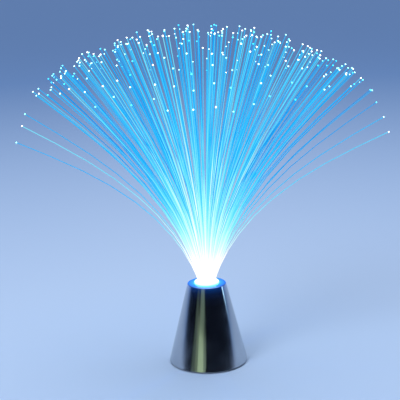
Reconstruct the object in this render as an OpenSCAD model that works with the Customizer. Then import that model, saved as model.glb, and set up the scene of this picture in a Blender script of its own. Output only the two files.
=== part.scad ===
// Battery fibre-optic lamp. A plated cone stands on a round base plate that holds three cells and a
// slide switch. Three LEDs under the top light a lift-out spray of plastic fibres potted in a ferrule.
// Millimetres, +Z up, origin on the table under the middle of the cone, front towards -Y.

/* [Cone shell] */
// Outer diameter of the cone at its rim
base_d = 80; // [78:1:96]
// Outer diameter of the cone at its top face
top_d = 39; // [37:0.5:46]
// Height of the cone from its rim to its top face
shell_h = 82; // [76:1:110]
// Thickness of the cone's wall and top
wall = 1.8; // [1.4:0.1:2.2]
// Radius that rounds the edge of the top face
top_round = 1.4; // [0.8:0.1:1.8]
// Height of the rim above the table
rim_z = 1; // [0.6:0.1:1.4]
// Diameter of the screw posts inside the cone
post_d = 5.6; // [5:0.2:6]
// Distance from the rim's outside to the centre of each base post
post_inset = 7.5; // [7.2:0.1:8]
// Height of the base posts and their ribs
post_h = 20; // [14:1:26]
// Thickness of the ribs that tie the base posts to the wall
rib_t = 1.6; // [1.2:0.1:2]

/* [Base plate] */
// Height of the plate's underside above the table
plate_z = 1.6; // [1.5:0.1:2]
// Thickness of the base plate
plate_t = 2; // [1.8:0.1:2.6]
// Gap between the plate's edge and the cone's wall
edge_gap = 0.25; // [0.15:0.05:0.4]
// Height of the pads that the posts stand on
pad_h = 1.2; // [0.8:0.1:2]
// Diameter of a rubber foot
foot_d = 9; // [8:0.5:10]
// Gap between the feet and the battery door beside them
foot_gap = 0.7; // [0.5:0.1:2]
// Depth that a foot is sunk into the plate
foot_sink = 0.6; // [0.4:0.1:0.8]
// Diameter of the base screws' thread
screw_d = 2.6; // [2.2:0.1:3]
// Length of the base screws under the head
screw_l = 9; // [7:0.5:12]
// Gap that lets one piece slide into another
slip = 0.1; // [0.05:0.05:0.15]

/* [Cells and door] */
// Diameter of a cell
cell_d = 10.5; // [10:0.1:10.7]
// Length of a cell with its button
cell_l = 44.5; // [42:0.5:45]
// Room round a cell in its bay
bay_gap = 0.35; // [0.2:0.05:0.4]
// Thickness of the bay's walls
bay_t = 1.6; // [1.2:0.1:1.6]
// Length left for a contact spring
spring_l = 4.6; // [4:0.1:5]
// Thickness of the contact strip
strip_t = 0.4; // [0.3:0.1:0.5]
// Diameter of the wire of the contact springs
spring_wire = 0.7; // [0.5:0.1:0.8]
// Turns of a contact spring
spring_turns = 3; // [2:1:4]
// Thickness of the battery door
door_t = 1.4; // [1.2:0.1:1.6]
// Width of the ledge that the door closes against
door_ledge = 1.2; // [0.8:0.1:1.2]
// Gap round the door
door_gap = 0.3; // [0.2:0.05:0.4]
// Width of each hinge tab on the door
tab_w = 5; // [4:0.5:6]
// Distance between the hinge tabs' centres
tab_pitch = 16; // [12:1:20]
// Width of the door's latch tongue
latch_w = 10; // [8:0.5:14]

/* [Switch] */
// Distance from the bay's outside to the switch's centre line
switch_offset = 8; // [7:0.5:9]
// Length of the switch body
switch_l = 12; // [11:0.5:14]
// Width of the switch body
switch_w = 5.6; // [5:0.2:6]
// Height of the switch body
switch_h = 4.8; // [4.4:0.2:6]
// Distance between the switch's fixing screws
switch_pitch = 17; // [16.5:0.5:19]
// Length of the finger knob along its travel
knob_l = 3.4; // [3:0.2:4]
// Width of the finger knob
knob_w = 3.4; // [3:0.2:4]
// Travel of the switch
travel = 3; // [2:0.5:3.5]
// Diameter of the small screws
small_screw_d = 2; // [1.6:0.1:2.2]

/* [Light] */
// Diameter of the round circuit board
board_d = 34; // [34:1:38]
// Thickness of the circuit board
board_t = 1.6; // [1:0.2:2]
// Diameter of an LED's lens
led_d = 5; // [4:0.5:5]
// Height of an LED above the board
led_h = 8.6; // [7.6:0.2:9.4]
// Distance from the axis to each LED
led_ring = 4.4; // [4:0.1:5]
// Height of the holder that spaces the board from the socket
holder_h = 10.5; // [10:0.5:14]
// Diameter of the insulated wires
wire_d = 1.4; // [1:0.1:1.8]

/* [Fibre spray] */
// Diameter of the potted bundle of fibres
bundle_d = 17.6; // [17:0.2:19]
// Wall of the ferrule round the bundle
ferrule_t = 1.6; // [1.2:0.1:2]
// Depth of the ferrule in its socket
ferrule_l = 12; // [8:0.5:14]
// Thickness of the ferrule's flange
flange_t = 1.8; // [1.2:0.1:3]
// Width of the flange beyond the socket
flange_w = 1.9; // [1.4:0.1:2.4]
// Length of the fibres above the ferrule
fibre_l = 254; // [120:2:300]
// Rings of fibres in the bundle
rings = 10; // [6:1:10]
// Share of the ring spacing that a fibre fills
fibre_fill = 0.94; // [0.6:0.02:0.96]
// Lean of the outermost fibres to the sides, from upright
side_lean = 38; // [20:1:50]
// Lean of the outermost fibres to the front and back
front_lean = 37; // [20:1:45]
// Further lean of the few stray fibres at each side
stray_extra = 13; // [0:1:16]

/* [Hidden] */
$fn = 64;
eps = 0.01;

// Cone: its radius outside and inside at a height
top_z = rim_z + shell_h;
taper = (base_d - top_d) / 2 / shell_h;
rim_bevel = 0.6;
function outer_r(z) = base_d / 2 - taper * (z - rim_z);
function inner_r(z) = outer_r(z) - wall;

// Spray and its socket in the cone's top
bundle_r = bundle_d / 2;
ferrule_r = bundle_r + ferrule_t;
socket_r = ferrule_r + slip;
socket_t = 1.6;
post_sink = 0.6;
socket_z = top_z - ferrule_l;
flange_r = socket_r + flange_w;
potting_z = top_z + flange_t;
mouth = 0.9;

// Circuit board and LEDs, hung from two posts beside the socket
board_post_r = socket_r + socket_t + post_d / 2 - post_sink;
board_top = socket_z - holder_h;
board_z = board_top - board_t;
board_screw_grip = 6;
board_screw_l = board_t + board_screw_grip;
holder_r = board_post_r - post_d / 2 - 2 * slip;
holder_t = 1.2;
holder_web_z = 1.4;
lead_d = 0.5;
lead_pitch = 2.54;
lead_l = 1.2;
led_flange_h = 1;
led_flange_w = 0.4;
chip = [5, 4, 1.6];
chip_at = [-1.5, -8.5];
resistor = [3.2, 1.6, 0.7];
resistor_x = -8.5;
resistor_pitch = 3;

// Plate, feet and base screws
plate_top = plate_z + plate_t;
pad_top = plate_top + pad_h;
pad_rim = 1.2;
pad_d = post_d + 2 * pad_rim;
blind_skin = 0.8;
foot_top = plate_z + foot_sink;
foot_bevel = 0.5;
head_h = screw_d / 2;
head_top = foot_top + head_h + slip;
post_r = base_d / 2 - post_inset;

// Cells side by side in their bay, the middle one reversed
cell_r = cell_d / 2;
cell_pitch = cell_d + 2 * slip;
door_top = plate_z + door_t;
cell_z = door_top + 4 * slip + cell_r;
bay_r = cell_r + bay_gap;
bay_w = 2 * (cell_pitch + bay_r + 2 * slip);
bay_l = cell_l + spring_l + 2 * strip_t + 2 * slip;
bay_top = cell_z + bay_r + bay_t;
function cell_way(column) = column == 0 ? -1 : 1;
button_d = 3.8;
button_l = 1;
cell_bevel = 0.5;

// Contacts
spring_r0 = 0.65 * cell_r;
spring_r1 = 0.4 * cell_r;
spring_steps = 8;
plate_half = 0.72 * cell_r;
link_top = 1.2;
tail_w = 2.4;
tail_top = bay_top + 2;

// Door, with its tabs over the plate's skin and its latch against the ledge
door_w = bay_w + 2 * door_ledge - 2 * door_gap;
door_l = bay_l + 2 * door_ledge - 2 * door_gap;
tab_reach = 2;
tab_t = 1;
tab_z = door_top - 0.4;
latch_l = 8;
latch_slit = 0.9;
nose_h = 1.2;
nose_t = 1.2;
door_rib_h = 1.2;
door_rib_t = 1;
groove_d = 0.8;
scoop_depth = 0.8;
scoop_rim = 1;

// Base posts stand on a circle, each far enough to the side for its foot to clear the door
post_x = door_w / 2 + door_gap + foot_d / 2 + slip + foot_gap;
post_turn = acos(post_x / post_r);

// Switch, its frame on pads above the plate
switch_x = bay_w / 2 + bay_t + switch_offset;
switch_pad_h = 1.4;
frame_t = 0.5;
frame_z = plate_top + switch_pad_h;
ear = small_screw_d + 0.2;
clasp_l = 0.6 * switch_l;
body_z = frame_z + frame_t;
switch_top = body_z + switch_h;
switch_wall = 0.6;
slider_h = 1.8;
slider_l = knob_l + 2.4;
terminal_w = 1.6;
terminal_t = 0.4;
terminal_h = 3.6;
terminal_pitch = 3.6;
terminal_root = 1.5;

// Wires: how far each heads straight out of its solder joints, and the pads under the board
wire_rise = 20;
wire_drop = 17;
battery_pad = [4, 9];
switch_pad = [8, 5];
up = [0, 0, 1];

// Fibres stand in rings, six more in each; a few at the sides stray further than the rest
bundle_rim = 0.65;
ring_pitch = (bundle_r - bundle_rim) / rings;
fibre_r = ring_pitch * fibre_fill / 2;
tufts = 6;
root_sink = 0.6;
uneven_l = 0.04 * fibre_l;
start_share = 0.35;
scatter_size = 0.3;
middle_pull = 0.6;
clump_lean = 7;
clump_pull = 0.7;
clump_shift = 3;
swirl = 4;
stray_sector = 12;
stray_turn = 1.5;
stray_short = 0.08;

// ---- Shapes and places that repeat ----

// A box centred on the axis, and a rod on it, each between two heights
module box_between(w, l, z0, z1) { translate([-w / 2, -l / 2, z0]) cube([w, l, z1 - z0]); }
module rod_between(d, z0, z1) { translate([0, 0, z0]) cylinder(h = z1 - z0, d = d); }

// Places of the base posts, the board posts, an LED, its leads, the switch and its fixing screws
module at_posts() {
  for (half = [0, 180], turn = [-post_turn, post_turn])
    rotate(half + turn) translate([post_r, 0, 0]) children();
}
module at_board_posts() { for (side = [-1, 1]) translate([side * board_post_r, 0, 0]) children(); }
module at_led(i) { rotate(90 + 120 * i) translate([led_ring, 0, 0]) children(); }
module at_leads() { for (side = [-1, 1]) translate([0, side * lead_pitch / 2, 0]) children(); }
module at_switch() { translate([switch_x, 0, 0]) children(); }
module at_ears() { at_switch() for (side = [-1, 1]) translate([0, side * switch_pitch / 2, 0]) children(); }
module at_tabs() { for (side = [-1, 1]) translate([side * tab_pitch / 2, -door_l / 2, 0]) children(); }

// Places of the solder tails, at the two ends of the chain of cells, with the end wall at y = 0
module at_tails() {
  translate([-cell_pitch, -bay_l / 2, 0]) mirror([0, 1, 0]) children();
  translate([cell_pitch, bay_l / 2, 0]) children();
}

// A pan-head screw, its head below z = 0 and its thread above
module screw(d, length, head) {
  difference() {
    union() {
      translate([0, 0, -head]) cylinder(h = head, d1 = 1.7 * d, d2 = 2 * d);
      rod_between(d, -eps, length);
    }
    for (turn = [0, 90]) rotate(turn) box_between(d, d / 5, -head - eps, -head / 2);
  }
}

// Points on an arc, and on a cubic curve from a to b that leaves along `out` and comes in from `back`
function arc(c, r, a0, a1, n) =
  [for (i = [0:n]) let(a = a0 + (a1 - a0) * i / n) c + r * [cos(a), sin(a)]];
function curve(a, out, back, b, n) = [for (i = [0:n]) let(t = i / n, s = 1 - t)
  s * s * s * a + 3 * s * s * t * (a + out) + 3 * s * t * t * (b + back) + t * t * t * b];

// A ring of points round place i of a path and square to it; `up` is never along the path
function unit(v) = v / norm(v);
function tangent(path, i) = unit(path[min(i + 1, len(path) - 1)] - path[max(i - 1, 0)]);
function ring(path, i, r, sides, up) =
  let(t = tangent(path, i), u = unit(cross(up, t)), v = cross(t, u))
  [for (s = [0:sides - 1]) path[i] + r * (cos(360 * s / sides) * u + sin(360 * s / sides) * v)];

// A tube along a path, closed at both ends, with triangular faces
module tube(path, r, sides, up) {
  last = len(path) - 1;
  start_cap = [for (s = [1:sides - 2]) [0, s, s + 1]];
  walls = [for (i = [0:last - 1]) for (s = [0:sides - 1])
    let(a = sides * i + s, b = sides * i + (s + 1) % sides)
    each [[a, b + sides, b], [a, a + sides, b + sides]]];
  end_cap = [for (s = [1:sides - 2]) sides * last * [1, 1, 1] + [0, s + 1, s]];
  polyhedron([for (i = [0:last]) each ring(path, i, r, sides, up)], concat(start_cap, walls, end_cap));
}

// ---- Cone shell ----

// Section of the wall, the top and the socket that hangs from it
module shell_section() {
  round_z = top_z - top_round;
  round_r = outer_r(round_z) - top_round / cos(atan(taper));
  polygon(concat(
    [[inner_r(rim_z), rim_z], [outer_r(rim_z) - rim_bevel, rim_z],
     [outer_r(rim_z + rim_bevel), rim_z + rim_bevel]],
    arc([round_r, round_z], top_round, atan(taper), 90, 6),
    [[socket_r, top_z], [socket_r, socket_z], [socket_r + socket_t, socket_z],
     [socket_r + socket_t, top_z - wall], [inner_r(top_z - wall), top_z - wall]]));
}

// Base posts with the ribs that tie them to the wall
module base_posts() {
  intersection() {
    at_posts() {
      rod_between(post_d, pad_top, pad_top + post_h);
      translate([post_inset / 2, 0, 0]) box_between(post_inset, rib_t, pad_top + pad_h, pad_top + post_h);
    }
    translate([0, 0, rim_z])
      cylinder(h = shell_h, r1 = base_d / 2 - wall / 2, r2 = top_d / 2 - wall / 2, $fn = 120);
  }
}

module shell() color([0.8, 0.81, 0.83]) difference() {
  union() {
    rotate_extrude($fn = 120) shell_section();
    base_posts();
    at_board_posts() rod_between(post_d, board_top, top_z - wall / 2);
  }
  at_posts() rod_between(screw_d + 2 * slip, pad_top - eps, head_top + screw_l + 1);
  at_board_posts() rod_between(small_screw_d + 2 * slip, board_top - eps, board_z + board_screw_l + 1);
}

// ---- Base plate with its battery bay ----

// The three-barrelled space for the cells down to z0, grown by `grow`
module bay(grow, z0) {
  length = bay_l + 2 * grow;
  width = bay_w + 2 * grow;
  box_between(width, length, z0, cell_z);
  intersection() {
    for (column = [-1:1]) translate([column * cell_pitch, length / 2, cell_z]) rotate([90, 0, 0])
      cylinder(h = length, r = bay_r + grow);
    box_between(width, length + 2, cell_z - eps, bay_top + 1);
  }
}

module base_plate() color([0.13, 0.13, 0.14]) difference() {
  union() {
    translate([0, 0, plate_z]) cylinder(h = plate_t, r1 = inner_r(plate_z) - edge_gap,
      r2 = inner_r(plate_top) - edge_gap, $fn = 120);
    bay(bay_t, plate_z + plate_t / 2);
    at_posts() rod_between(pad_d, plate_top - eps, pad_top);
    at_ears() rod_between(switch_w, plate_top - eps, frame_z);
  }
  // Space for the cells, slits for the solder tails and the recess that the door closes
  bay(0, plate_z - 1);
  at_tails() translate([0, -strip_t / 2 - slip, 0])
    box_between(tail_w + 4 * slip, strip_t + 2 * slip, cell_z, bay_top + 1);
  box_between(door_w + 2 * door_gap, door_l + 2 * door_gap, plate_z - 1, door_top);
  // Pockets for the door's tabs, and the finger scoop beside its latch
  at_tabs() translate([0, bay_t, 0])
    box_between(tab_w + 2 * door_gap, 2 * (tab_reach + bay_t + 2 * door_gap),
      tab_z - slip, cell_z - plate_half);
  translate([0, door_l / 2 + door_gap, 0]) scale([1, 0.6, 1])
    rod_between(latch_w + 2 * scoop_rim, plate_z - 1, plate_z + scoop_depth);
  // Feet and base screws
  at_posts() {
    rod_between(foot_d + 2 * slip, plate_z - 1, foot_top);
    rod_between(2 * screw_d + 4 * slip, plate_z, head_top);
    rod_between(screw_d + 2 * slip, plate_z, pad_top + 1);
  }
  // Switch
  at_switch() box_between(knob_w + 6 * slip, knob_l + travel + 6 * slip, plate_z - 1, plate_top + 1);
  at_ears() rod_between(small_screw_d + 2 * slip, plate_z + blind_skin, frame_z + 1);
}

// ---- Battery door ----

module battery_door() color([0.15, 0.15, 0.16]) difference() {
  union() {
    box_between(door_w, door_l, plate_z, door_top);
    at_tabs() box_between(tab_w, 2 * tab_reach, tab_z, tab_z + tab_t);
    // Latch nose behind the ledge, and ribs that steady the cells
    translate([0, (bay_l - nose_t) / 2 - 1.5 * slip, 0])
      box_between(latch_w - 2.4, nose_t, door_top - eps, door_top + nose_h);
    for (side = [-1, 1]) translate([side * cell_pitch / 2, 0, 0])
      box_between(door_rib_t, cell_l / 2, door_top - eps, door_top + door_rib_h);
  }
  // Slits that free the latch tongue, and its thumb grooves
  for (side = [-1, 1]) translate([side * latch_w / 2, door_l / 2, 0])
    box_between(latch_slit, 2 * latch_l, plate_z - 1, door_top + nose_h + 1);
  for (k = [1:3]) translate([0, door_l / 2 - 2 * k * groove_d, plate_z]) rotate([0, 90, 0])
    cylinder(h = latch_w - 3, d = groove_d, center = true);
}

// ---- Screws and feet ----

module base_screws() color([0.7, 0.7, 0.72])
  at_posts() translate([0, 0, head_top]) screw(screw_d, screw_l, head_h);
module switch_screws() color([0.7, 0.7, 0.72])
  at_ears() translate([0, 0, body_z]) mirror([0, 0, 1])
    screw(small_screw_d, body_z - plate_z - 1, small_screw_d / 2);
module board_screws() color([0.7, 0.7, 0.72])
  at_board_posts() translate([0, 0, board_z]) screw(small_screw_d, board_screw_l, small_screw_d / 2);

module rubber_feet() color([0.2, 0.2, 0.2]) at_posts() {
  cylinder(h = foot_bevel, d1 = foot_d - 2 * foot_bevel, d2 = foot_d);
  rod_between(foot_d, foot_bevel - eps, foot_top);
}

// ---- Slide switch ----

// Pressed steel frame: a strip with an ear at each end and two flanges that clasp the body
module switch_frame() color([0.75, 0.75, 0.77]) difference() {
  at_switch() {
    box_between(switch_w, switch_pitch + 2 * ear, frame_z, body_z);
    difference() {
      box_between(switch_w + 2 * frame_t + 2 * slip, clasp_l, frame_z, body_z + switch_h / 2);
      box_between(switch_w + 2 * slip, clasp_l + 2, body_z, body_z + switch_h);
    }
  }
  at_switch() box_between(knob_w + 2 * slip, knob_l + travel + 2 * slip, frame_z - 1, body_z + eps);
  at_ears() rod_between(small_screw_d + 2 * slip, frame_z - 1, body_z + 1);
}

module at_terminals() { at_switch() for (i = [-1:1]) translate([0, i * terminal_pitch, 0]) children(); }

module switch_body() color([0.1, 0.1, 0.1]) difference() {
  at_switch() box_between(switch_w, switch_l, body_z, switch_top);
  at_switch() box_between(switch_w - 2 * switch_wall, slider_l + travel + 4 * slip,
    body_z - 1, body_z + slider_h + 2 * slip);
  at_terminals() box_between(terminal_w + 2 * slip, terminal_t + 2 * slip,
    switch_top - terminal_root, switch_top + 1);
}

module switch_terminals() color([0.8, 0.7, 0.4]) at_terminals()
  box_between(terminal_w, terminal_t, switch_top - terminal_root, switch_top + terminal_h);

// The slider rests at the ON end of its travel, towards the back
module switch_slider() color([0.85, 0.85, 0.85]) at_switch() translate([0, travel / 2, 0]) difference() {
  union() {
    box_between(switch_w - 2 * switch_wall - 2 * slip, slider_l, body_z + slip, body_z + slip + slider_h);
    box_between(knob_w, knob_l, rim_z, body_z + slider_h / 2);
  }
  for (k = [-1:1]) translate([0, k * knob_l / 3.4, 0]) box_between(knob_w + 1, 0.4, rim_z - 1, rim_z + 0.3);
}

// ---- Cells and contacts ----

// A cell in a column of the bay, its flat end towards its spring
module cell(column) color([0.3, 0.45, 0.35])
  translate([column * cell_pitch, cell_way(column) * spring_l / 2, cell_z])
    rotate([-90 * cell_way(column), 0, 0]) translate([0, 0, -cell_l / 2]) rotate_extrude() polygon([
      [0, 0], [cell_r - cell_bevel, 0], [cell_r, cell_bevel],
      [cell_r, cell_l - button_l - cell_bevel], [cell_r - cell_bevel, cell_l - button_l],
      [button_d / 2, cell_l - button_l], [button_d / 2, cell_l], [0, cell_l]]);

// A conical spring's path: it stands on its widest turn
spring_path = [for (k = [0:spring_steps * spring_turns])
  let(t = k / (spring_steps * spring_turns), a = 360 * k / spring_steps,
    r = spring_r0 + (spring_r1 - spring_r0) * t)
  [r * cos(a), r * sin(a), spring_wire / 2 + (spring_l - spring_wire) * t]];

module contact_springs() color([0.75, 0.72, 0.65]) for (column = [-1:1])
  translate([column * cell_pitch, -cell_way(column) * (bay_l / 2 - strip_t), cell_z])
    rotate([-90 * cell_way(column), 0, 0]) tube(spring_path, spring_wire / 2, 6, [0, 0, 1]);

// A strip on one end wall behind columns a to b, low between them where the bay's barrels meet
module contact_strip(a, b, end) {
  translate([0, end * (bay_l - strip_t) / 2, 0]) {
    for (column = [a:b]) translate([column * cell_pitch, 0, 0])
      box_between(2 * plate_half, strip_t, cell_z - plate_half, cell_z + plate_half);
    translate([(a + b) / 2 * cell_pitch, 0, 0])
      box_between((b - a) * cell_pitch + eps, strip_t, cell_z - plate_half, cell_z + link_top);
  }
}

module contact_plates() color([0.75, 0.75, 0.72]) {
  contact_strip(-1, -1, -1);
  contact_strip(0, 1, -1);
  contact_strip(-1, 0, 1);
  contact_strip(1, 1, 1);
  at_tails() translate([0, -strip_t / 2, 0]) box_between(tail_w, strip_t, cell_z, tail_top);
}

// ---- Wires ----

// Ends of the wires: a solder tail's top, a switch terminal's top and a pad under the board
function tail_end(side) = [side * cell_pitch, side * (bay_l - strip_t) / 2, tail_top + slip];
function terminal_end(i) = [switch_x, i * terminal_pitch, switch_top + terminal_h + slip];
function board_end(pad) = [pad.x, pad.y, board_z - slip];

module wire(path) { tube(path, wire_d / 2, 6, [1, 0.35, 0.12]); }
module battery_wire() color([0.7, 0.1, 0.1])
  wire(curve(tail_end(1), wire_rise * up, -wire_drop * up, board_end(battery_pad), 12));
module switch_wire() color([0.1, 0.1, 0.1])
  wire(curve(tail_end(-1), wire_rise * up, wire_rise * up, terminal_end(0), 14));
module return_wire() color([0.1, 0.1, 0.1])
  wire(curve(terminal_end(1), wire_rise * up, -wire_drop * up, board_end(switch_pad), 12));

// ---- Circuit board and LEDs ----

module led_board() color([0.1, 0.4, 0.2]) difference() {
  rod_between(board_d, board_z, board_top);
  at_board_posts() rod_between(small_screw_d + 2 * slip, board_z - 1, board_top + 1);
  for (i = [0:2]) at_led(i) at_leads() rod_between(lead_d + 4 * slip, board_z - 1, board_top + 1);
}

// The colour chip and the three resistors, soldered under the board
module board_parts() color([0.15, 0.15, 0.15]) {
  translate([chip_at.x, chip_at.y, 0]) box_between(chip.x, chip.y, board_z - chip.z, board_z);
  for (k = [-1:1]) translate([resistor_x, k * resistor_pitch, 0])
    box_between(resistor.x, resistor.y, board_z - resistor.z, board_z);
}

module led(i) color([0.7, 0.85, 1]) at_led(i) {
  dome_z = board_top + led_h - led_d / 2;
  rod_between(led_d + 2 * led_flange_w, board_top, board_top + led_flange_h);
  rod_between(led_d, board_top + led_flange_h - eps, dome_z);
  intersection() {
    translate([0, 0, dome_z]) sphere(d = led_d);
    box_between(led_d + 1, led_d + 1, dome_z - eps, dome_z + led_d);
  }
  at_leads() rod_between(lead_d, board_z - lead_l, board_top + eps);
}

// A sleeve between the board and the socket, with a web that holds the LEDs upright
module led_holder() color([0.92, 0.92, 0.92]) difference() {
  rod_between(2 * holder_r, board_top, socket_z);
  rod_between(2 * (holder_r - holder_t), board_top - 1, board_top + holder_web_z);
  rod_between(2 * (holder_r - holder_t), board_top + holder_web_z + holder_t, socket_z + 1);
  for (i = [0:2]) at_led(i) rod_between(led_d + 2 * slip, board_top, socket_z);
}

// ---- Ferrule and fibres ----

module ferrule() color([0.85, 0.95, 1]) rotate_extrude($fn = 96) polygon([
  [bundle_r + slip / 2, socket_z], [ferrule_r - 0.5, socket_z], [ferrule_r, socket_z + 0.5],
  [ferrule_r, top_z], [flange_r, top_z], [flange_r, potting_z - 0.6], [flange_r - 0.6, potting_z],
  [bundle_r + mouth, potting_z], [bundle_r + slip / 2, potting_z - mouth]]);

// An even mix of values between -0.5 and 0.5
function scatter(i, step) = (i * step) % 1 - 0.5;

// Fibre j of ring k: its place round the ring, and how far it strays to a side, from 0 to 1
function root_angle(k, j) = (j + 0.5) * 60 / k;
function stray(k, j) =
  k < rings ? 0 : max(0, 1 - abs(sin(root_angle(k, j) - stray_turn)) / sin(stray_sector));

// A lean to one side drawn towards the nearest clump, whose place shifts with the lean across it
function gathered(a, across) = a + clump_pull * sin(360 / clump_lean * a + clump_shift * across);

// Its lean and heading. The lean grows with its place in the bundle, so that no fibres cross
function aim(k, j) =
  let(i = 3 * k * (k - 1) + j, turned = root_angle(k, j) + swirl * (rings - k),
    loose = stray(k, j) > 0 ? 0 : scatter_size,
    u = (k * cos(turned) + loose * scatter(i, 0.7549)) / rings,
    v = (k * sin(turned) + loose * scatter(i, 0.5698)) / rings,
    x = (side_lean + stray_extra * stray(k, j)) * u,
    y = front_lean * v * (1 - middle_pull * (1 - abs(v))),
    lean = [gathered(x, y), gathered(y, x)])
  [norm(lean), atan2(lean.y, lean.x)];

// A fibre bends most near its root: its lean at share t of its length, which averages `lean`
function lean_at(lean, t) = lean * (start_share + 1.5 * (1 - start_share) * (1 - pow(1 - t, 2)));
function station(i, n) = pow(i / n, 1.6);
function fibre_path(p, lean, heading, length, n, i = 0) = i == n ? [p] :
  let(t0 = station(i, n), t1 = station(i + 1, n), a = lean_at(lean, (t0 + t1) / 2),
    next = p + length * (t1 - t0) * [sin(a) * cos(heading), sin(a) * sin(heading), cos(a)])
  concat([p], fibre_path(next, lean, heading, length, n, i + 1));

module fibre(k, j) {
  a = root_angle(k, j);
  lean = aim(k, j)[0];
  heading = aim(k, j)[1];
  root = [k * ring_pitch * cos(a), k * ring_pitch * sin(a), potting_z - root_sink];
  strays = stray(k, j);
  uneven = strays > 0 ? 0 : uneven_l * scatter(j, 0.618);
  length = (fibre_l + root_sink + uneven) * (1 - stray_short * strays);
  steps = strays > 0 ? 5 : k > rings / 2 ? 4 : 3;
  tube(fibre_path(root, lean, heading, length, steps), fibre_r, 3, [-sin(heading), cos(heading), 0]);
}

// A sixth of the potted bundle with its fibres
module fibre_tuft(s) color([0.35, 0.8, 1]) {
  rotate_extrude(angle = 360 / tufts, start = (s - 1) * 360 / tufts, $fn = 96)
    translate([0, socket_z]) square([bundle_r, potting_z - socket_z]);
  for (k = [1:rings]) for (j = [(s - 1) * k:s * k - 1]) fibre(k, j);
}

shell();
base_plate();
battery_door();
base_screws();
rubber_feet();
switch_frame();
switch_body();
switch_slider();
switch_terminals();
switch_screws();
cell(-1);  // cell_1
cell(0);  // cell_2
cell(1);  // cell_3
contact_springs();
contact_plates();
battery_wire();
switch_wire();
return_wire();
led_board();
board_parts();
led(0);  // led_1
led(1);  // led_2
led(2);  // led_3
led_holder();
board_screws();
ferrule();
fibre_tuft(1);  // fibre_tuft_1
fibre_tuft(2);  // fibre_tuft_2
fibre_tuft(3);  // fibre_tuft_3
fibre_tuft(4);  // fibre_tuft_4
fibre_tuft(5);  // fibre_tuft_5
fibre_tuft(6);  // fibre_tuft_6
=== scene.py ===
import math
import random

import bmesh
import bpy
from mathutils import Matrix, Vector
from mathutils.geometry import interpolate_bezier


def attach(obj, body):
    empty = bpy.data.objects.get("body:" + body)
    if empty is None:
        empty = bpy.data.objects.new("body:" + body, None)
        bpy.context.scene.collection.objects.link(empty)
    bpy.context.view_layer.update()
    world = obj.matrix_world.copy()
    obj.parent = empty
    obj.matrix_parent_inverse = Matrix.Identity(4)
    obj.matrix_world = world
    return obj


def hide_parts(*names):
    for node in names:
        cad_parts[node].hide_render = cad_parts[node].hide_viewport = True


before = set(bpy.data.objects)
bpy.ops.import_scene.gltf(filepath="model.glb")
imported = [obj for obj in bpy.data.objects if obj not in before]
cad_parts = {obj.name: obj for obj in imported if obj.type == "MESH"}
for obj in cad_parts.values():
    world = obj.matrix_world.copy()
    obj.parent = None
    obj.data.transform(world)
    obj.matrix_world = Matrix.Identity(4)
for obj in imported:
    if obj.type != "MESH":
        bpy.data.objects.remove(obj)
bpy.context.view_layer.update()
mm = 0.001
print("frame loaded")


def newMaterial(name, colour, roughness, metallic=0.0):
    made = bpy.data.materials.new(name)
    made.use_nodes = True
    shader = made.node_tree.nodes["Principled BSDF"]
    shader.inputs["Base Color"].default_value = (*colour, 1)
    shader.inputs["Roughness"].default_value = roughness
    shader.inputs["Metallic"].default_value = metallic
    return made


def setSocket(made, socket, value):
    made.node_tree.nodes["Principled BSDF"].inputs[socket].default_value = value


def addNode(made, kind, **inputs):
    node = made.node_tree.nodes.new(kind)
    for socket, value in inputs.items():
        node.inputs[socket].default_value = value
    return node


def link(made, output, target):
    made.node_tree.links.new(output, target)


def linkShader(made, output, socket):
    link(made, output, made.node_tree.nodes["Principled BSDF"].inputs[socket])


# sums and products of sockets and plain numbers
def mathOf(made, operation, *values):
    node = addNode(made, "ShaderNodeMath")
    node.operation = operation
    for socket, value in zip(node.inputs, values):
        if isinstance(value, (int, float)):
            socket.default_value = value
        else:
            link(made, value, socket)
    return node.outputs["Value"]


# the piece's own X, Y and Z
def placeOf(made, source="Object"):
    where = addNode(made, "ShaderNodeTexCoord")
    split = addNode(made, "ShaderNodeSeparateXYZ")
    link(made, where.outputs[source], split.inputs["Vector"])
    return split.outputs["X"], split.outputs["Y"], split.outputs["Z"]


def attributeOf(made, name):
    node = addNode(made, "ShaderNodeAttribute")
    node.attribute_name = name
    return node.outputs["Fac"]


# noise in the piece's own space, `stretch` makes it finer along an axis
def grain(made, scale, detail, stretch=(1, 1, 1)):
    where = addNode(made, "ShaderNodeTexCoord")
    mapping = addNode(made, "ShaderNodeMapping", Scale=stretch)
    noise = addNode(made, "ShaderNodeTexNoise", Scale=scale, Detail=detail)
    link(made, where.outputs["Object"], mapping.inputs["Vector"])
    link(made, mapping.outputs["Vector"], noise.inputs["Vector"])
    return noise.outputs["Fac"]


# from `low` to `high` as the output goes from `start` to `end`, by default over a grain's usual range
def remap(made, output, low, high, start=0.3, end=0.7):
    ranged = addNode(made, "ShaderNodeMapRange")
    ranged.inputs["From Min"].default_value = start
    ranged.inputs["From Max"].default_value = end
    ranged.inputs["To Min"].default_value = low
    ranged.inputs["To Max"].default_value = high
    link(made, output, ranged.inputs["Value"])
    return ranged.outputs["Result"]


# from 0 to 1 as the output goes from `start` to `end`
def shareOf(made, output, start, end):
    return remap(made, output, 0, 1, start, end)


def ramp(made, output, *stops):
    node = addNode(made, "ShaderNodeValToRGB")
    band = node.color_ramp
    while len(band.elements) < len(stops):
        band.elements.new(0.5)
    for element, (position, colour) in zip(band.elements, stops):
        element.position = position
        element.color = (*colour, 1)
    link(made, output, node.inputs["Fac"])
    return node.outputs["Color"]


def greyRamp(made, output, *stops):
    return ramp(made, output, *((position, (level, level, level)) for position, level in stops))


def shade(colour, factor):
    return tuple(factor * channel for channel in colour)


# a colour that a grain darkens here and there
def mottled(made, colour, look):
    low, high = look["mottleEnds"]
    return ramp(made, grain(made, *look["mottle"]), (low, shade(colour, look["darkest"])), (high, colour))


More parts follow.
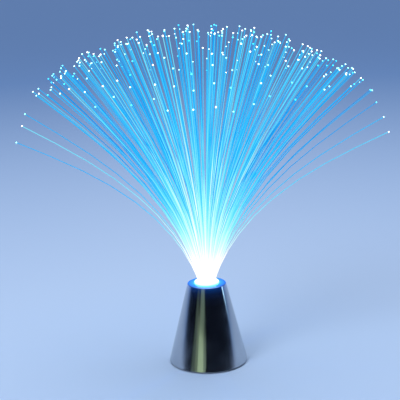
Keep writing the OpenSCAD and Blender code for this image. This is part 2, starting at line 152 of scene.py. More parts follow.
# from colour output `a` to the plain colour `b` as the factor goes from 0 to 1
def mixed(made, factor, a, b):
    node = addNode(made, "ShaderNodeMix")
    node.data_type = "RGBA"
    link(made, factor, node.inputs["Factor"])
    link(made, a, node.inputs[6])
    node.inputs[7].default_value = (*b, 1)
    return node.outputs[2]


def bump(made, output, depth, strength):
    node = addNode(made, "ShaderNodeBump", Strength=strength, Distance=depth)
    link(made, output, node.inputs["Height"])
    linkShader(made, node.outputs["Normal"], "Normal")


# distance from the lamp's axis, from 0 at `inner` to 1 at `outer`
def fromAxis(made, inner, outer):
    x, y, _ = placeOf(made)
    squares = mathOf(made, "ADD", mathOf(made, "MULTIPLY", x, x), mathOf(made, "MULTIPLY", y, y))
    return shareOf(made, mathOf(made, "SQRT", squares), inner, outer)


# in the looks below a grain is given by its scale and detail, and a bump by its depth in metres and its
# strength; heights and distances from the lamp's axis are in millimetres

# the glow of the fibres' root is painted on the flat top of the cone and, much less, on the last stretch of
# its side, as a painted glow in the emission; the top also has a painted blue sheen in its colour
plating = {
    "colour": (0.52, 0.54, 0.57),
    "mottle": (25, 4),
    "mottleEnds": (0.35, 0.65),
    "darkest": 0.93,
    "smudges": (60, 5),
    "roughness": 0.09,
    "roughest": 0.15,
    "ripples": (260, 2),
    "bump": (0.00001, 0.12),
    "ringTop": 82.4,
    "ringEdge": 0.4,
    "sideFoot": 64,
    "sidePaintedGlow": ((0.0, 0.0), (0.4, 0.012), (0.7, 0.06), (0.9, 0.2), (1.0, 0.45)),
    "ringInner": 12.4,
    "ringOuter": 19.5,
    "ringPaintedSheen": (0.06, 0.20, 0.50),
    "ringPaintedGlow": ((0.0, (0.10, 0.62, 1.0)), (0.25, (0.01, 0.28, 0.92)), (1.0, (0.0, 0.09, 0.55))),
    "glow": 0.8,
}


def chromePlating():
    made = newMaterial("chrome_plating", plating["colour"], plating["roughness"], 1.0)
    smudges = grain(made, *plating["smudges"])
    linkShader(made, remap(made, smudges, plating["roughness"], plating["roughest"]), "Roughness")
    worn = mottled(made, plating["colour"], plating)
    _, _, z = placeOf(made)
    top = plating["ringTop"] * mm
    onTop = shareOf(made, z, top, (plating["ringTop"] + plating["ringEdge"]) * mm)
    # painted sheen: the flat top is painted blue, standing in for the fibres' blue light reflected there
    linkShader(made, mixed(made, onTop, worn, plating["ringPaintedSheen"]), "Base Color")
    bump(made, grain(made, *plating["ripples"]), *plating["bump"])
    fromInner = fromAxis(made, plating["ringInner"] * mm, plating["ringOuter"] * mm)
    # painted glow on the flat top, bluest and brightest next to the collar and fading outwards
    linkShader(made, ramp(made, fromInner, *plating["ringPaintedGlow"]), "Emission Color")
    # painted glow on the last stretch of the side, growing towards the top
    paintedSideGlow = greyRamp(made, shareOf(made, z, plating["sideFoot"] * mm, top), *plating["sidePaintedGlow"])
    strength = mathOf(made, "ADD", mathOf(made, "MULTIPLY", onTop, plating["glow"]), paintedSideGlow)
    linkShader(made, strength, "Emission Strength")
    made.cycles.emission_sampling = "NONE"
    return made


moulding = {
    "mottle": (160, 3),
    "mottleEnds": (0.35, 0.65),
    "darkest": 0.8,
    "sparks": (2600, 2),
    "glossier": 0.08,
    "duller": 0.1,
    "bump": (0.00003, 0.5),
}


def mouldedPlastic(name, colour, roughness=0.5):
    made = newMaterial(name, colour, roughness)
    sparks = grain(made, *moulding["sparks"])
    linkShader(made, mottled(made, colour, moulding), "Base Color")
    low, high = roughness - moulding["glossier"], roughness + moulding["duller"]
    linkShader(made, remap(made, sparks, low, high), "Roughness")
    bump(made, sparks, *moulding["bump"])
    return made


rubber = {
    "colour": (0.03, 0.03, 0.032),
    "colours": ((0.3, (0.02, 0.02, 0.021)), (0.7, (0.045, 0.045, 0.047))),
    "mottle": (300, 3),
    "dust": (900, 3),
    "roughness": 0.75,
    "dullness": (0.65, 0.9),
    "pores": (1500, 3),
    "bump": (0.00004, 0.6),
}


def footRubber():
    made = newMaterial("foot_rubber", rubber["colour"], rubber["roughness"])
    linkShader(made, remap(made, grain(made, *rubber["dust"]), *rubber["dullness"]), "Roughness")
    linkShader(made, ramp(made, grain(made, *rubber["mottle"]), *rubber["colours"]), "Base Color")
    bump(made, grain(made, *rubber["pores"]), *rubber["bump"])
    return made


metalwork = {
    "mottle": (250, 3),
    "mottleEnds": (0.3, 0.7),
    "darkest": 0.85,
    "lines": (900, 3),
    "glossier": 0.08,
    "duller": 0.12,
    "bump": (0.00001, 0.4),
}


def workedMetal(name, colour, roughness, stretch=(1, 1, 1)):
    made = newMaterial(name, colour, roughness, 1.0)
    lines = grain(made, *metalwork["lines"], stretch)
    low, high = roughness - metalwork["glossier"], roughness + metalwork["duller"]
    linkShader(made, remap(made, lines, low, high), "Roughness")
    linkShader(made, mottled(made, colour, metalwork), "Base Color")
    bump(made, lines, *metalwork["bump"])
    return made


# a printed sleeve with bare steel at both ends; a band's places are shares of the length from the flat end
jacket = {
    "green": (0.08, 0.2, 0.14),
    "copper": (0.6, 0.42, 0.2),
    "steel": (0.6, 0.6, 0.59),
    "bands": ((0.0, "steel"), (0.045, "steel"), (0.05, "green"), (0.74, "green"), (0.75, "copper"),
              (0.95, "copper"), (0.96, "steel")),
    "metallic": 0.45,
    "sheen": (200, 3),
    "roughness": 0.3,
    "dullness": (0.27, 0.36),
    "halfLength": 24,
}


# `way` is the direction of the button end along Y
def cellJacket(way):
    made = newMaterial("cell_jacket", jacket["green"], jacket["roughness"], jacket["metallic"])
    _, y, _ = placeOf(made)
    reach = way * jacket["halfLength"] * mm
    bands = ((place, jacket[colour]) for place, colour in jacket["bands"])
    linkShader(made, ramp(made, shareOf(made, y, -reach, reach), *bands), "Base Color")
    linkShader(made, remap(made, grain(made, *jacket["sheen"]), *jacket["dullness"]), "Roughness")
    return made


sheath = {
    "mottle": (400, 2),
    "mottleEnds": (0.3, 0.7),
    "darkest": 0.8,
    "sheen": (1200, 2),
    "roughness": 0.35,
    "dullness": (0.3, 0.45),
}


def wireSheath(name, colour):
    made = newMaterial(name, colour, sheath["roughness"])
    linkShader(made, remap(made, grain(made, *sheath["sheen"]), *sheath["dullness"]), "Roughness")
    linkShader(made, mottled(made, colour, sheath), "Base Color")
    return made


laminate = {
    "colour": (0.02, 0.16, 0.07),
    "colours": ((0.35, (0.014, 0.11, 0.05)), (0.65, (0.025, 0.19, 0.085))),
    "roughness": 0.3,
    "weave": (1400, 2),
    "bump": (0.00001, 0.3),
}


def circuitBoard():
    made = newMaterial("circuit_board", laminate["colour"], laminate["roughness"])
    weave = grain(made, *laminate["weave"])
    linkShader(made, ramp(made, weave, *laminate["colours"]), "Base Color")
    bump(made, weave, *laminate["bump"])
    return made


# what glows lights nothing by itself, so it brings no speckles; the lamps below stand in for its light
def litMaterial(name, look, glow):
    made = newMaterial(name, look["colour"], look["roughness"])
    setSocket(made, "Emission Strength", look["strength"])
    linkShader(made, glow(made, look), "Emission Color")
    made.cycles.emission_sampling = "NONE"
    return made


def hazyGlow(made, look):
    return ramp(made, grain(made, *look["haze"]), *look["glow"])


lens = {
    "colour": (0.55, 0.8, 1.0),
    "roughness": 0.08,
    "strength": 2.0,
    "haze": (300, 1),
    "glow": ((0.3, (0.6, 0.9, 1.0)), (0.7, (1.0, 1.0, 1.0))),
}

resin = {
    "colour": (0.9, 0.97, 1.0),
    "roughness": 0.3,
    "strength": 1.6,
    "haze": (900, 2),
    "glow": ((0.3, (0.85, 0.98, 1.0)), (0.7, (1.0, 1.0, 1.0))),
}

# the collar's flange glows like the fibres in it, the sleeve below it less and bluer
collar = {
    "colour": (0.75, 0.9, 1.0),
    "roughness": 0.25,
    "strength": 1.3,
    "inner": 9.5,
    "outer": 12.6,
    "flange": ((0.0, (1.0, 1.0, 1.0)), (0.7, (0.85, 1.0, 1.0)), (1.0, (0.3, 0.8, 1.0))),
    "flangeFoot": 82,
    "fade": 1.5,
    "sleeve": (0.10, 0.42, 0.72),
    "dimples": (500, 2),
    "bump": (0.00003, 0.3),
}


def collarGlow(made, look):
    flange = ramp(made, fromAxis(made, look["inner"] * mm, look["outer"] * mm), *look["flange"])
    _, _, z = placeOf(made)
    foot = look["flangeFoot"]
    below = remap(made, z, 1, 0, (foot - look["fade"]) * mm, foot * mm)
    return mixed(made, below, flange, look["sleeve"])


def litPlastic():
    made = litMaterial("lit_plastic", collar, collarGlow)
    bump(made, grain(made, *collar["dimples"]), *collar["bump"])
    return made


glowLook = {
    "strand": (0.0, 0.03, 0.09),
    "roughness": 0.2,
    "shine": 0.3,
    # how strongly a fibre glows at a share of its length: what it draws from its own brightness
    "own": ((0.0, 0.14), (0.12, 0.18), (0.25, 0.26), (0.42, 0.33), (0.7, 0.35), (0.955, 0.36),
            (0.965, 0.85)),
    # and what it shares with all the others near the root, where the innermost fibres glow further up
    "shared": ((0.0, 1.0), (0.13, 0.95), (0.22, 0.72), (0.34, 0.46), (0.48, 0.25), (0.63, 0.1),
               (0.8, 0.02)),
    "fading": (0.75, 1.45),      # how fast that fades along the innermost and the outermost fibres
    # the colour of a glow, from the dimmest to the strongest
    "colours": ((0.0, (0.0, 0.14, 0.55)), (0.16, (0.0, 0.30, 0.78)), (0.3, (0.01, 0.48, 0.92)),
                (0.45, (0.11, 0.72, 0.95)), (0.58, (0.30, 0.89, 0.95)), (0.75, (0.64, 1.0, 0.97)),
                (0.9, (1.0, 1.0, 1.0))),
    "strongest": 1.2,
    # where along a fibre the extra power comes in, at the root and in the cut end
    "power": ((0.0, 0.06), (0.2, 0.0), (0.955, 0.0), (0.965, 1.0)),
    "extraPower": 2.6,
}


# each strand carries its own brightness in "lit", how fast the glow of its root fades in "fading" and the
# share of its length in "along"
def glowingFibre():
    made = newMaterial("optical_fibre", glowLook["strand"], glowLook["roughness"])
    setSocket(made, "Specular IOR Level", glowLook["shine"])
    along, lit, fading = (attributeOf(made, name) for name in ("along", "lit", "fading"))
    own = mathOf(made, "MULTIPLY", greyRamp(made, along, *glowLook["own"]), lit)
    shared = greyRamp(made, mathOf(made, "MULTIPLY", along, fading), *glowLook["shared"])
    level = shareOf(made, mathOf(made, "ADD", own, shared), 0, glowLook["strongest"])
    power = remap(made, greyRamp(made, along, *glowLook["power"]), 1, 1 + glowLook["extraPower"], 0, 1)
    linkShader(made, ramp(made, level, *glowLook["colours"]), "Emission Color")
    linkShader(made, power, "Emission Strength")
    made.cycles.emission_sampling = "NONE"
    return made


finishes = {
    "chrome": chromePlating(),
    "blackPlastic": mouldedPlastic("black_plastic", (0.03, 0.03, 0.033)),
    "whitePlastic": mouldedPlastic("white_plastic", (0.8, 0.8, 0.78), 0.4),
    "chip": mouldedPlastic("chip_black", (0.03, 0.03, 0.032), 0.6),
    "rubber": footRubber(),
    "screwSteel": workedMetal("screw_steel", (0.6, 0.6, 0.61), 0.28),
    "platedSteel": workedMetal("plated_steel", (0.66, 0.65, 0.62), 0.25, (1, 0.1, 1)),
    "brass": workedMetal("brass", (0.72, 0.56, 0.3), 0.25),
    "cellForward": cellJacket(1),
    "cellBackward": cellJacket(-1),
    "redWire": wireSheath("red_insulation", (0.55, 0.04, 0.03)),
    "blackWire": wireSheath("black_insulation", (0.03, 0.03, 0.03)),
    "board": circuitBoard(),
    "led": litMaterial("led_lens", lens, hazyGlow),
    "litPlastic": litPlastic(),
    "litResin": litMaterial("lit_resin", resin, hazyGlow),
    "fibre": glowingFibre(),
}
print("finishes made:", len(finishes))

# solids that stay as they are, with their finish
kept = {
    "switch_frame": "platedSteel",
    "contact_plates": "platedSteel",
    "switch_body": "blackPlastic",
    "switch_terminals": "brass",
    "switch_screws": "screwSteel",
    "board_screws": "screwSteel",
    "led_board": "board",
    "board_parts": "chip",
    "led_1": "led",
    "led_2": "led",
    "led_3": "led",
    "led_holder": "whitePlastic",
}
for node, finish in kept.items():
    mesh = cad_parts[node].data
    mesh.materials.clear()
    mesh.materials.append(finishes[finish])


def finishPiece(piece, body, node):
    bpy.context.scene.collection.objects.link(piece)
    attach(piece, body)
    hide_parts(node)


# pieces made from the solids with softened edges, `edge` in millimetres
softened = {
    "coneShell": {"node": "shell", "finish": "chrome", "body": "base", "slot": "chrome_plating",
                  "edge": 0.15},
    "basePlate": {"node": "base_plate", "finish": "blackPlastic", "body": "base", "slot": "black_plastic",
                  "edge": 0.12},
    "batteryDoor": {"node": "battery_door", "finish": "blackPlastic", "body": "door",
                    "slot": "black_plastic", "edge": 0.12},
    "baseScrews": {"node": "base_screws", "finish": "screwSteel", "body": "base", "slot": "screw_steel",
                   "edge": 0.08},
    "rubberFeet": {"node": "rubber_feet", "finish": "rubber", "body": "base", "slot": "rubber",
                   "edge": 0.2},
    "switchKnob": {"node": "switch_slider", "finish": "whitePlastic", "body": "switch_knob",
                   "slot": "white_plastic", "edge": 0.1},
    "cellLeft": {"node": "cell_1", "finish": "cellForward", "body": "base", "slot": "cell_jacket",
                 "edge": 0.1},
    "cellMiddle": {"node": "cell_2", "finish": "cellBackward", "body": "base", "slot": "cell_jacket",
                   "edge": 0.1},
    "cellRight": {"node": "cell_3", "finish": "cellForward", "body": "base", "slot": "cell_jacket",
                  "edge": 0.1},
    "litFerrule": {"node": "ferrule", "finish": "litPlastic", "body": "spray", "slot": "clear_plastic",
                   "edge": 0.25},
}
# how they are cleaned and rounded, in millimetres and degrees
softening = {
    "mergeWithin": 0.002,
    "flatWithin": 0.3,
    "sharpFrom": 30,
    "segments": 2,
    "weight": 80,
}


def softenedCopy(name, node, finish, body, slot, edge):
    bm = bmesh.new()
    bm.from_mesh(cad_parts[node].data)
    bmesh.ops.remove_doubles(bm, verts=bm.verts, dist=softening["mergeWithin"] * mm)
    bmesh.ops.dissolve_limit(bm, angle_limit=math.radians(softening["flatWithin"]), verts=bm.verts,
                             edges=bm.edges)
    mesh = bpy.data.meshes.new(name)
    bm.to_mesh(mesh)
    bm.free()
    mesh.materials.append(finishes[finish])
    mesh.shade_smooth()
    piece = bpy.data.objects.new(name, mesh)
    rounding = piece.modifiers.new("rounding", "BEVEL")
    rounding.width = edge * mm
    rounding.segments = softening["segments"]
    rounding.limit_method = "ANGLE"
    rounding.angle_limit = math.radians(softening["sharpFrom"])
    weighted = piece.modifiers.new("weighted", "WEIGHTED_NORMAL")
    weighted.weight = softening["weight"]
    finishPiece(piece, body, node)


for name, settings in softened.items():
    softenedCopy(name, **settings)
print("softened pieces done:", len(softened))


# where a ring of a tube stands and how it faces, as a matrix in metres; the rest is in millimetres
def ringPlace(point, way, across, radius):
    across = (across - across.dot(way) * way).normalized()
    turn = Matrix((across * radius, way.cross(across) * radius, way)).transposed().to_4x4()
    return Matrix.Scale(mm, 4) @ Matrix.Translation(point) @ turn


# a closed tube through rings; returns the vertices of each ring
def tubeThrough(bm, places, sides):
    ring = bmesh.ops.create_circle(bm, cap_ends=True, segments=sides, radius=1, matrix=places[0])["verts"]
    edges = list(ring[0].link_faces[0].edges)
    rings = [ring]
    for here, there in zip(places, places[1:]):
        grown = bmesh.ops.extrude_edge_only(bm, edges=edges)["geom"]
        ring = [item for item in grown if isinstance(item, bmesh.types.BMVert)]
        edges = [item for item in grown if isinstance(item, bmesh.types.BMEdge)
                 and all(vert in ring for vert in item.verts)]
        bmesh.ops.transform(bm, matrix=there @ here.inverted(), verts=ring)
        rings.append(ring)
    bmesh.ops.edgeloop_fill(bm, edges=edges)
    return rings


def directionAt(line, i):
    return (line[min(i + 1, len(line) - 1)] - line[max(i - 1, 0)]).normalized()


tubeEnd = {"inset": 0.3, "narrow": 0.75}      # the small bevel at a tube's ends, in radii


# a round tube along a line of points
def tubeAlong(bm, line, radius, sides, across):
    places = [ringPlace(point, directionAt(line, i), across, radius) for i, point in enumerate(line)]
    first, last = directionAt(line, 0), directionAt(line, len(line) - 1)
    inset, narrow = tubeEnd["inset"] * radius, tubeEnd["narrow"] * radius
    places[0] = ringPlace(line[0] + inset * first, first, across, radius)
    places[-1] = ringPlace(line[-1] - inset * last, last, across, radius)
    places.insert(0, ringPlace(line[0], first, across, narrow))
    places.append(ringPlace(line[-1], last, across, narrow))
    tubeThrough(bm, places, sides)


# extruding leaves edges and faces in no fixed order; sorted by their corners they are the same in every run
def sortParts(bm):
    count = len(bm.verts)

    def rank(part):
        corners = sorted(vert.index for vert in part.verts)
        return (corners[0] * count + corners[1]) * count + corners[-1]

    bm.verts.index_update()
    bm.edges.sort(key=rank)
    bm.faces.sort(key=rank)


def meshPiece(name, bm, *finishNames, flat=()):
    bmesh.ops.recalc_face_normals(bm, faces=bm.faces)
    for face in bm.faces:
        face.smooth = face not in flat
    sortParts(bm)
    mesh = bpy.data.meshes.new(name)
    bm.to_mesh(mesh)
    bm.free()
    for finish in finishNames:
        mesh.materials.append(finishes[finish])
    return bpy.data.objects.new(name, mesh)


springs = {
    "columns": ((-1, 1), (0, -1), (1, 1)),     # place across the bay and which way the cell faces
    "pitch": 10.7,
    "endWall": 24.65,
    "height": 8.65,
    "widest": 3.4125,
    "narrowest": 2.1,
    "length": 4.6,
    "wire": 0.35,
    "turns": 3,
    "perTurn": 20,
    "sides": 8,
}


def contactSprings():
    bm = bmesh.new()
    count = springs["turns"] * springs["perTurn"]
    for column, way in springs["columns"]:
        foot = Vector((column * springs["pitch"], -way * springs["endWall"], springs["height"]))
        place = Matrix.Translation(foot) @ Matrix.Rotation(math.radians(-90 * way), 4, "X")
        line = []
        for i in range(count + 1):
            t = i / count
            angle = math.tau * i / springs["perTurn"]
            radius = springs["widest"] + (springs["narrowest"] - springs["widest"]) * t
            rise = springs["wire"] + (springs["length"] - 2 * springs["wire"]) * t
            line.append(place @ Vector((radius * math.cos(angle), radius * math.sin(angle), rise)))
        upward = place.to_3x3() @ Vector((0, 0, 1))
        tubeAlong(bm, line, springs["wire"], springs["sides"], upward)
    finishPiece(meshPiece("contactSprings", bm, "platedSteel"), "base", "contact_springs")


contactSprings()

# each wire leaves its solder joint straight, by `out`, and comes in to the other by `back`
wires = {
    "radius": 0.7,
    "sides": 10,
    "rings": 28,
    "across": (1, 0.35, 0.12),
    "runs": {
        "batteryWire": {"start": (10.7, 24.85, 17.95), "out": 20, "back": -17, "end": (4, 9, 58.8),
                        "finish": "redWire", "slot": "red_insulation", "node": "battery_wire"},
        "switchWire": {"start": (-10.7, -24.85, 17.95), "out": 20, "back": 20, "end": (26.1, 0, 14.0),
                       "finish": "blackWire", "slot": "black_insulation", "node": "switch_wire"},
        "returnWire": {"start": (26.1, 3.6, 14.0), "out": 20, "back": -17, "end": (8, 5, 58.8),
                       "finish": "blackWire", "slot": "black_insulation", "node": "return_wire"},
    },
}


def insulatedWire(name, start, out, back, end, finish, slot, node):
    start, end = Vector(start), Vector(end)
    leaving, arriving = start + Vector((0, 0, out)), end + Vector((0, 0, back))
    line = interpolate_bezier(start, leaving, arriving, end, wires["rings"])
    bm = bmesh.new()
    tubeAlong(bm, line, wires["radius"], wires["sides"], Vector(wires["across"]))
    finishPiece(meshPiece(name, bm, finish), "base", node)


for name, run in wires["runs"].items():
    insulatedWire(name, **run)
print("springs and wires done")

# the same rings and leans as the solids, with smooth round strands; lengths in millimetres, leans in
# degrees; ring k of the bundle holds 6 k fibres
spray = {
    "rings": 10,
    "ringPitch": 0.815,
    "fibreRadius": 0.383,
    "fibreLength": 254,
    "rootHeight": 84.8,
    "rootSink": 0.6,
    "unevenLength": 10.16,
    "unevenStep": 0.618,
    "sideLean": 38,
    "frontLean": 37,
    "strayExtra": 13,
    "straySector": 12,
    "strayTurn": 1.5,
    "strayShort": 0.08,
    "startShare": 0.35,          # the share of its lean that a fibre has at its root
    "leanGrowth": 1.5,           # makes up for that, so that it has its lean on average
    "scatterSize": 0.3,
    "scatterSteps": (0.7549, 0.5698),
    "middlePull": 0.6,
    "clumpLean": 7,
    "clumpPull": 0.7,
    "clumpShift": 3,
    "swirl": 4,
    "stretches": {"inner": 3, "outer": 4, "stray": 5},
    "stretchGrowth": 1.6,        # later stretches of a fibre are longer
    "stepsPerStretch": 2,
    "sides": 5,
    "beadStart": 0.95,           # what "along" is where a strand's cut end begins
    "tufts": 6,
    "bundleRadius": 8.8,
    "bundleFoot": 71,
    "bundleSteps": 16,
    "mergeWithin": 0.001,
    "seed": 4,
    "brightness": (0.45, 0.6, 0.75, 0.85, 0.95, 1.05, 1.25, 1.5),   # one is drawn for each fibre
    "brightnessSpread": (0.9, 1.1),
}
# swelling of a cut end: how far before the tip each ring stands and its radius, in fibre radii
tipBead = ((3.0, 1.0), (2.0, 1.9), (0.7, 1.9), (0.1, 0.9))


def degSin(angle):
    return math.sin(math.radians(angle))


def degCos(angle):
    return math.cos(math.radians(angle))


def scatter(i, step):
    return (i * step) % 1 - 0.5


def rootAngle(k, j):
    return (j + 0.5) * 60 / k


def strayShare(k, j):
    if k < spray["rings"]:
        return 0.0
    offSide = abs(degSin(rootAngle(k, j) - spray["strayTurn"]))
    return max(0.0, 1 - offSide / degSin(spray["straySector"]))


# a lean to one side drawn towards the nearest clump
def gathered(lean, across):
    phase = 360 / spray["clumpLean"] * lean + spray["clumpShift"] * across
    return lean + spray["clumpPull"] * degSin(phase)


# lean from upright and heading round the axis of fibre j in ring k
def aim(k, j):
    i = 3 * k * (k - 1) + j
    turned = rootAngle(k, j) + spray["swirl"] * (spray["rings"] - k)
    strays = strayShare(k, j)
    loose = 0 if strays > 0 else spray["scatterSize"]
    stepX, stepY = spray["scatterSteps"]
    u = (k * degCos(turned) + loose * scatter(i, stepX)) / spray["rings"]
    v = (k * degSin(turned) + loose * scatter(i, stepY)) / spray["rings"]
    x = (spray["sideLean"] + spray["strayExtra"] * strays) * u
    y = spray["frontLean"] * v * (1 - spray["middlePull"] * (1 - abs(v)))
    x, y = gathered(x, y), gathered(y, x)
    return math.hypot(x, y), math.degrees(math.atan2(y, x))


# lean at the share t of a fibre's length
def leanAt(lean, t):
    start = spray["startShare"]
    return lean * (start + spray["leanGrowth"] * (1 - start) * (1 - (1 - t) ** 2))


def headingVector(lean, heading):
    return Vector((degSin(lean) * degCos(heading), degSin(lean) * degSin(heading), degCos(lean)))


def stretchesOf(k, strays):
    if strays > 0:
        return spray["stretches"]["stray"]
    return spray["stretches"]["outer" if k > spray["rings"] / 2 else "inner"]


# corner points of a fibre, as in the solids, its direction at each, and its heading
def fibreCorners(k, j):
    lean, heading = aim(k, j)
    strays = strayShare(k, j)
    root, angle = spray["ringPitch"] * k, rootAngle(k, j)
    foot = spray["rootHeight"] - spray["rootSink"]
    corners = [Vector((root * degCos(angle), root * degSin(angle), foot))]
    uneven = 0 if strays > 0 else spray["unevenLength"] * scatter(j, spray["unevenStep"])
    length = (spray["fibreLength"] + spray["rootSink"] + uneven) * (1 - spray["strayShort"] * strays)
    count = stretchesOf(k, strays)
    shares = [(i / count) ** spray["stretchGrowth"] for i in range(count + 1)]
    for t0, t1 in zip(shares, shares[1:]):
        way = headingVector(leanAt(lean, (t0 + t1) / 2), heading)
        corners.append(corners[-1] + length * (t1 - t0) * way)
    return corners, [headingVector(leanAt(lean, t), heading) for t in shares], heading


# a smooth line through the corner points
def smoothLine(corners, ways):
    points = spray["stepsPerStretch"] + 1
    line = [corners[0]]
    for a, b, wayA, wayB in zip(corners, corners[1:], ways, ways[1:]):
        reach = (b - a).length / 3
        line += interpolate_bezier(a, a + reach * wayA, b - reach * wayB, b, points)[1:]
    return line


def addStrand(bm, k, j, brightness):
    alongLayer, litLayer, fadingLayer = (bm.verts.layers.float[name] for name in ("along", "lit", "fading"))
    inner, outer = glowLook["fading"]
    fading = inner + (outer - inner) * k / spray["rings"]
    corners, ways, heading = fibreCorners(k, j)
    line = smoothLine(corners, ways)
    across = Vector((-degSin(heading), degCos(heading), 0))
    radius = spray["fibreRadius"]
    lengths = [0.0]
    for a, b in zip(line, line[1:]):
        lengths.append(lengths[-1] + (b - a).length)
    places, shares = [], []
    for i, point in enumerate(line[:-1]):
        places.append(ringPlace(point, directionAt(line, i), across, radius))
        shares.append(spray["beadStart"] * lengths[i] / lengths[-1])
    for before, swell in tipBead:
        places.append(ringPlace(line[-1] - before * radius * ways[-1], ways[-1], across, swell * radius))
        shares.append(spray["beadStart"] if swell == 1 else 1.0)
    for ring, share in zip(tubeThrough(bm, places, spray["sides"]), shares):
        for vert in ring:
            vert[alongLayer] = share
            vert[litLayer] = brightness
            vert[fadingLayer] = fading


# a sixth of the potted bundle
def addResin(bm, s):
    low, high = spray["bundleFoot"] * mm, spray["rootHeight"] * mm
    radius, merge = spray["bundleRadius"] * mm, spray["mergeWithin"] * mm
    step = math.tau / spray["tufts"]
    turn = Matrix.Rotation((s - 1) * step, 3, "Z")
    outline = ((0, low), (radius, low), (radius, high), (0, high))
    corners = [bm.verts.new(turn @ Vector((x, 0, z))) for x, z in outline]
    face = bmesh.ops.contextual_create(bm, geom=corners)["faces"]
    bmesh.ops.spin(bm, geom=face, cent=(0, 0, 0), axis=(0, 0, 1), dvec=(0, 0, 0), angle=step,
                   steps=spray["bundleSteps"], use_merge=False)
    bmesh.ops.remove_doubles(bm, verts=bm.verts, dist=merge)
    bmesh.ops.dissolve_degenerate(bm, edges=bm.edges, dist=merge)


def fibreTuft(s):
    bm = bmesh.new()
    for layer in ("along", "lit", "fading"):
        bm.verts.layers.float.new(layer)
    addResin(bm, s)
    resinFaces = set(bm.faces)
    for face in resinFaces:
        face.material_index = 1
    for k in range(1, spray["rings"] + 1):
        for j in range((s - 1) * k, s * k):
            brightness = chance.choice(spray["brightness"]) * chance.uniform(*spray["brightnessSpread"])
            addStrand(bm, k, j, brightness)
    piece = meshPiece(f"fibreTuft{s}", bm, "fibre", "litResin", flat=resinFaces)
    finishPiece(piece, "spray", f"fibre_tuft_{s}")


chance = random.Random(spray["seed"])
for s in range(1, spray["tufts"] + 1):
    fibreTuft(s)
print("fibres done:", 3 * spray["rings"] * (spray["rings"] + 1))

# the floor has a hole that the lamp's base covers, so that light gets to the underside; the world is dark
# behind the camera, pale behind the lamp and bright overhead; places and sizes are in metres
stage = {
    "floorRadius": 120,
    "holeRadius": 0.036,
    "floorSides": 64,
    # the ends of a painted pool of light: pale floor near the lamp, darker and bluer far from it
    "floorNear": (0.41, 0.54, 0.76),
    "floorFar": (0.20, 0.38, 0.76),
    "floorPaintedPool": (0.3, 2.8),
    "floorRoughness": 0.6,
    "floorShine": 0.2,
    "front": (0.004, 0.006, 0.013),
    "back": (0.24, 0.31, 0.42),
    "above": (0.78, 0.82, 0.90),
    "backFade": (0.1, 0.75),     # between these shares of the way from front to back
    "aboveFade": (0.45, 0.9),    # and of the way up
    "lampsAim": (0, 0, 0.05),
}


def floorMaterial():
    made = newMaterial("floor", stage["floorNear"], stage["floorRoughness"])
    # painted pool of light: the floor is painted paler near the lamp and darker and bluer further away
    fade = fromAxis(made, *stage["floorPaintedPool"])
    linkShader(made, ramp(made, fade, (0.0, stage["floorNear"]), (1.0, stage["floorFar"])), "Base Color")
    setSocket(made, "Specular IOR Level", stage["floorShine"])
    # from below the floor is see-through, so that the underside can be looked at
    nodes = made.node_tree.nodes
    side = addNode(made, "ShaderNodeNewGeometry")
    clear = addNode(made, "ShaderNodeBsdfTransparent")
    mix = addNode(made, "ShaderNodeMixShader")
    link(made, side.outputs["Backfacing"], mix.inputs["Fac"])
    link(made, nodes["Principled BSDF"].outputs["BSDF"], mix.inputs[1])
    link(made, clear.outputs["BSDF"], mix.inputs[2])
    link(made, mix.outputs["Shader"], nodes["Material Output"].inputs["Surface"])
    return made


def makeFloor():
    bm = bmesh.new()
    for radius in (stage["holeRadius"], stage["floorRadius"]):
        bmesh.ops.create_circle(bm, segments=stage["floorSides"], radius=radius)
    bmesh.ops.bridge_loops(bm, edges=bm.edges)
    bmesh.ops.recalc_face_normals(bm, faces=bm.faces)
    if next(iter(bm.faces)).normal.z < 0:
        bmesh.ops.reverse_faces(bm, faces=bm.faces)
    mesh = bpy.data.meshes.new("floor")
    bm.to_mesh(mesh)
    bm.free()
    mesh.materials.append(floorMaterial())
    floor = bpy.data.objects.new("floor", mesh)
    bpy.context.scene.collection.objects.link(floor)


def makeWorld():
    world = bpy.data.worlds.new("studio")
    bpy.context.scene.world = world
    world.use_nodes = True
    background = world.node_tree.nodes["Background"]
    _, y, z = placeOf(world, "Generated")
    backward = shareOf(world, y, *stage["backFade"])
    around = ramp(world, backward, (0.0, stage["front"]), (1.0, stage["back"]))
    upward = shareOf(world, z, *stage["aboveFade"])
    link(world, mixed(world, upward, around, stage["above"]), background.inputs["Color"])


# soft lamps; `radiance` is how bright the panel itself looks
lamps = {
    "key": {"place": (-1.1, -1.3, 1.5), "size": (1.0, 1.0), "radiance": 7, "inMetal": False},
    "top": {"place": (0.2, 0.3, 2.0), "size": (1.6, 1.6), "radiance": 2.4},
    "under": {"place": (-0.3, -0.3, -0.8), "size": (0.5, 0.5), "radiance": 10, "inMetal": False},
}
# tall panels that only the plating shows, by the directions where they begin and end, from the camera round
# to the right, and by the heights of their ends
panels = {
    "distance": 1.6,
    "strips": {
        "stripe": {"turns": (-33, -17), "heights": (0, 0.24), "radiance": 0.75,
                   "colour": (0.76, 1.0, 0.60)},
        "stripeTop": {"turns": (-34, -12), "heights": (0.24, 1.5), "radiance": 0.24,
                      "colour": (0.70, 1.0, 0.72)},
        "stripeInner": {"turns": (-17, -8), "heights": (0, 0.24), "radiance": 0.34,
                        "colour": (0.74, 1.0, 0.66)},
        "stripeSoft": {"turns": (-42, -33), "heights": (0, 0.26), "radiance": 0.27,
                       "colour": (0.74, 1.0, 0.64)},
        "stripeSofter": {"turns": (-52, -42), "heights": (0, 0.3), "radiance": 0.12,
                         "colour": (0.7, 1.0, 0.70)},
        "sideLine": {"turns": (94.5, 100.5), "heights": (0.075, 0.32), "radiance": 3.5,
                     "colour": (0.45, 0.75, 1.0)},
    },
}
# the blue light that the fibres' root casts on the floor
rootLight = {
    "energy": 0.7,
    "colour": (0.03, 0.3, 1.0),
    "softness": 0.012,
    "height": 0.15,
}


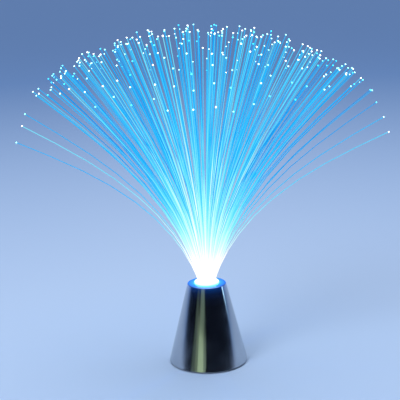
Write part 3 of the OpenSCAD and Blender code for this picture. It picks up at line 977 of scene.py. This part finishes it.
# a lamp that the camera doesn't see, and that shows in the plating only where `inMetal` is true
def placeLamp(name, data, place, inMetal):
    lamp = bpy.data.objects.new(name, data)
    lamp.location = place
    lamp.visible_camera = False
    lamp.visible_glossy = inMetal
    bpy.context.scene.collection.objects.link(lamp)
    return lamp


def softbox(name, place, size, radiance, colour=(1, 1, 1), inMetal=True):
    data = bpy.data.lights.new(name, "AREA")
    data.shape = "RECTANGLE"
    data.size, data.size_y = size
    data.energy = radiance * math.pi * size[0] * size[1]
    data.color = colour
    lamp = placeLamp(name, data, place, inMetal)
    lamp.rotation_euler = (Vector(stage["lampsAim"]) - Vector(place)).to_track_quat("-Z", "Y").to_euler()
    return lamp


def tallPanel(name, turns, heights, radiance, colour):
    middle, half = (turns[0] + turns[1]) / 2, (turns[1] - turns[0]) / 2
    place = (panels["distance"] * degSin(middle), -panels["distance"] * degCos(middle), sum(heights) / 2)
    width = 2 * panels["distance"] * math.tan(math.radians(half))
    softbox(name, place, (width, heights[1] - heights[0]), radiance, colour).visible_diffuse = False


def rootGlow():
    data = bpy.data.lights.new("rootGlow", "POINT")
    data.energy = rootLight["energy"]
    data.color = rootLight["colour"]
    data.shadow_soft_size = rootLight["softness"]
    placeLamp("rootGlow", data, (0, 0, rootLight["height"]), False)


camera = {
    "place": (-0.0046, -1.0, 0.396),
    "downward": 12.8,
    "roll": -1.5,
    "focal": 1029 / 400,         # in widths of the picture
    "sensorWidth": 36,
}


def makeCamera():
    data = bpy.data.cameras.new("camera")
    data.sensor_width = camera["sensorWidth"]
    data.lens = camera["focal"] * data.sensor_width
    made = bpy.data.objects.new("camera", data)
    made.location = camera["place"]
    turn = (Matrix.Rotation(math.radians(90 - camera["downward"]), 3, "X")
            @ Matrix.Rotation(math.radians(camera["roll"]), 3, "Z"))
    made.rotation_euler = turn.to_euler()
    bpy.context.scene.collection.objects.link(made)
    bpy.context.scene.camera = made


makeFloor()
makeWorld()
for name, settings in lamps.items():
    softbox(name, **settings)
for name, settings in panels["strips"].items():
    tallPanel(name, **settings)
rootGlow()
makeCamera()
bpy.context.scene.view_settings.view_transform = "Standard"
print("stage done")
